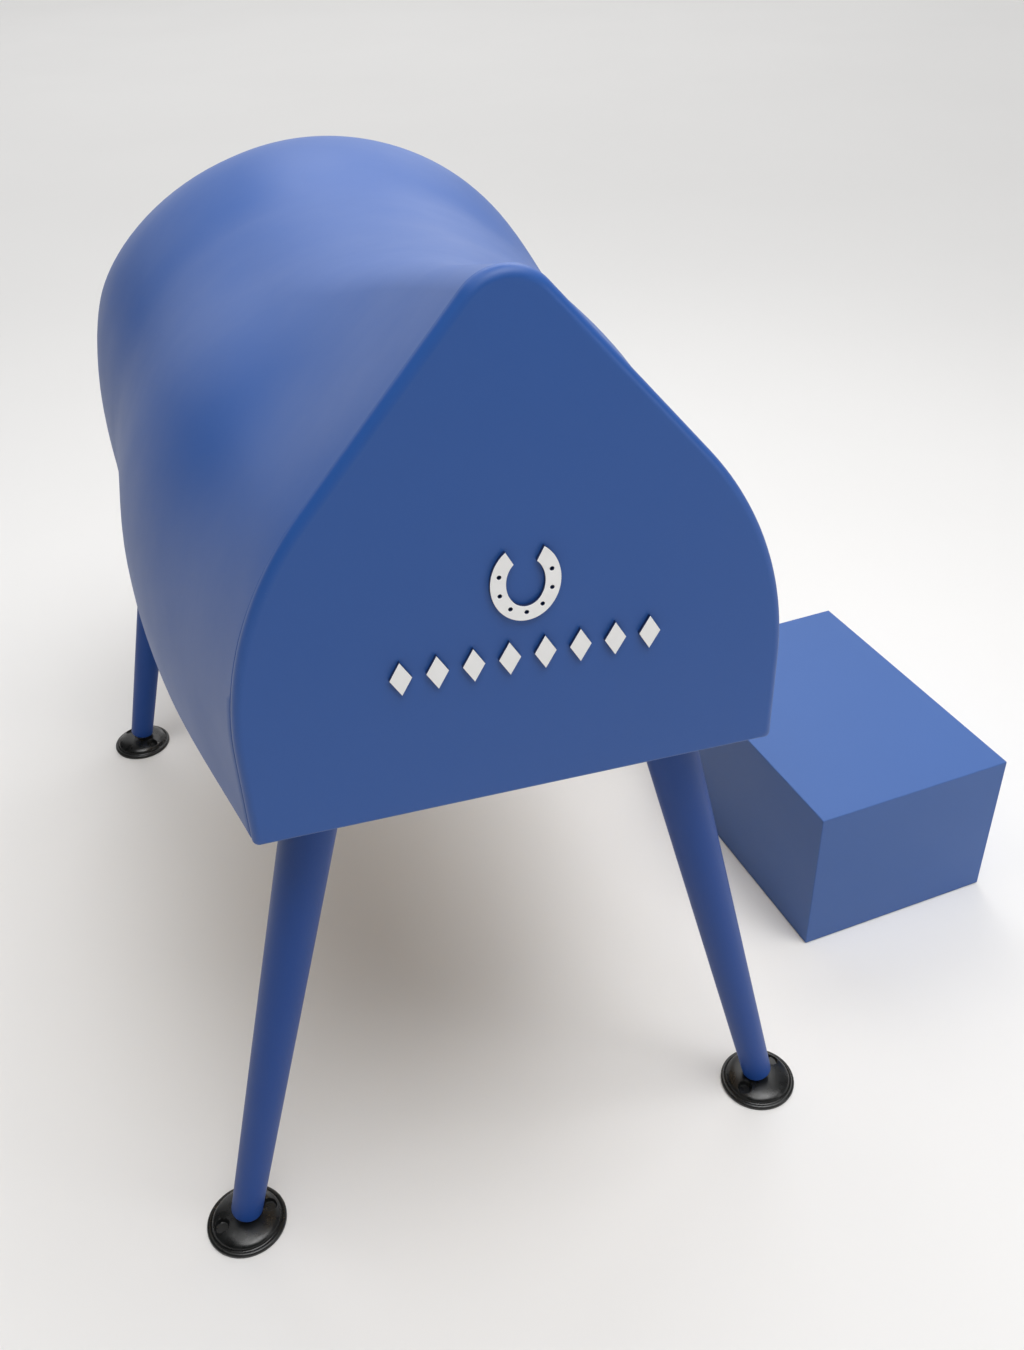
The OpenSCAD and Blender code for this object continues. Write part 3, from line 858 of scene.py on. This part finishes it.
def add_softbox(name, place, target, size, power):
    """A square soft light at place, facing target."""
    data = bpy.data.lights.new(name, "AREA")
    data.energy = power
    data.size = size
    add_light(data, place, Vector(place) - Vector(target))


def add_sun(name, azimuth, elevation, spread, strength):
    """A wide, soft light from far away."""
    data = bpy.data.lights.new(name, "SUN")
    data.energy = math.pi * strength
    data.angle = math.radians(spread)
    a = math.radians(azimuth)
    e = math.radians(elevation)
    away = Vector((math.sin(a) * math.cos(e), -math.cos(a) * math.cos(e), math.sin(e)))
    add_light(data, (0, 0, 0), away)


def build_world():
    """Pale grey behind the floor as the camera sees it, next to no light from it."""
    world = bpy.data.worlds.new("studio")
    world.use_nodes = True
    tree = world.node_tree
    background = tree.nodes["Background"]
    seen = tree.nodes.new("ShaderNodeLightPath")
    strength = tree.nodes.new("ShaderNodeMapRange")
    strength.inputs["To Min"].default_value = BACKDROP_LIGHT
    strength.inputs["To Max"].default_value = BACKDROP_SEEN
    tree.links.new(seen.outputs["Is Camera Ray"], strength.inputs["Value"])
    tree.links.new(strength.outputs["Result"], background.inputs["Strength"])
    background.inputs["Color"].default_value = (1, 1, 1, 1)
    bpy.context.scene.world = world


def build_camera():
    """A standing person's view down from the front left, level but for a small roll."""
    data = bpy.data.cameras.new("camera")
    data.sensor_width = CAMERA_SENSOR_MM
    data.lens = CAMERA_LENS_MM
    data.clip_end = CAMERA_REACH
    camera = bpy.data.objects.new("camera", data)
    yaw = math.radians(CAMERA_YAW_DEG)
    pitch = math.radians(CAMERA_PITCH_DEG)
    roll = math.radians(CAMERA_ROLL_DEG)
    ahead = Vector((math.sin(yaw), math.cos(yaw), 0))
    forward = ahead * math.cos(pitch) - Vector((0, 0, math.sin(pitch)))
    level = Vector((math.cos(yaw), -math.sin(yaw), 0))
    down = forward.cross(level)
    right = level * math.cos(roll) + down * math.sin(roll)
    up = level * math.sin(roll) - down * math.cos(roll)
    turn = Matrix((right, up, -forward)).transposed()
    camera.matrix_world = Matrix.Translation(CAMERA_PLACE) @ turn.to_4x4()
    bpy.context.scene.collection.objects.link(camera)
    bpy.context.scene.camera = camera


build_floor()
build_world()
build_camera()
for name, settings in SOFTBOXES.items():
    add_softbox(name, *settings)
for name, settings in SUNS.items():
    add_sun(name, *settings)
bpy.context.scene.view_settings.view_transform = "Standard"
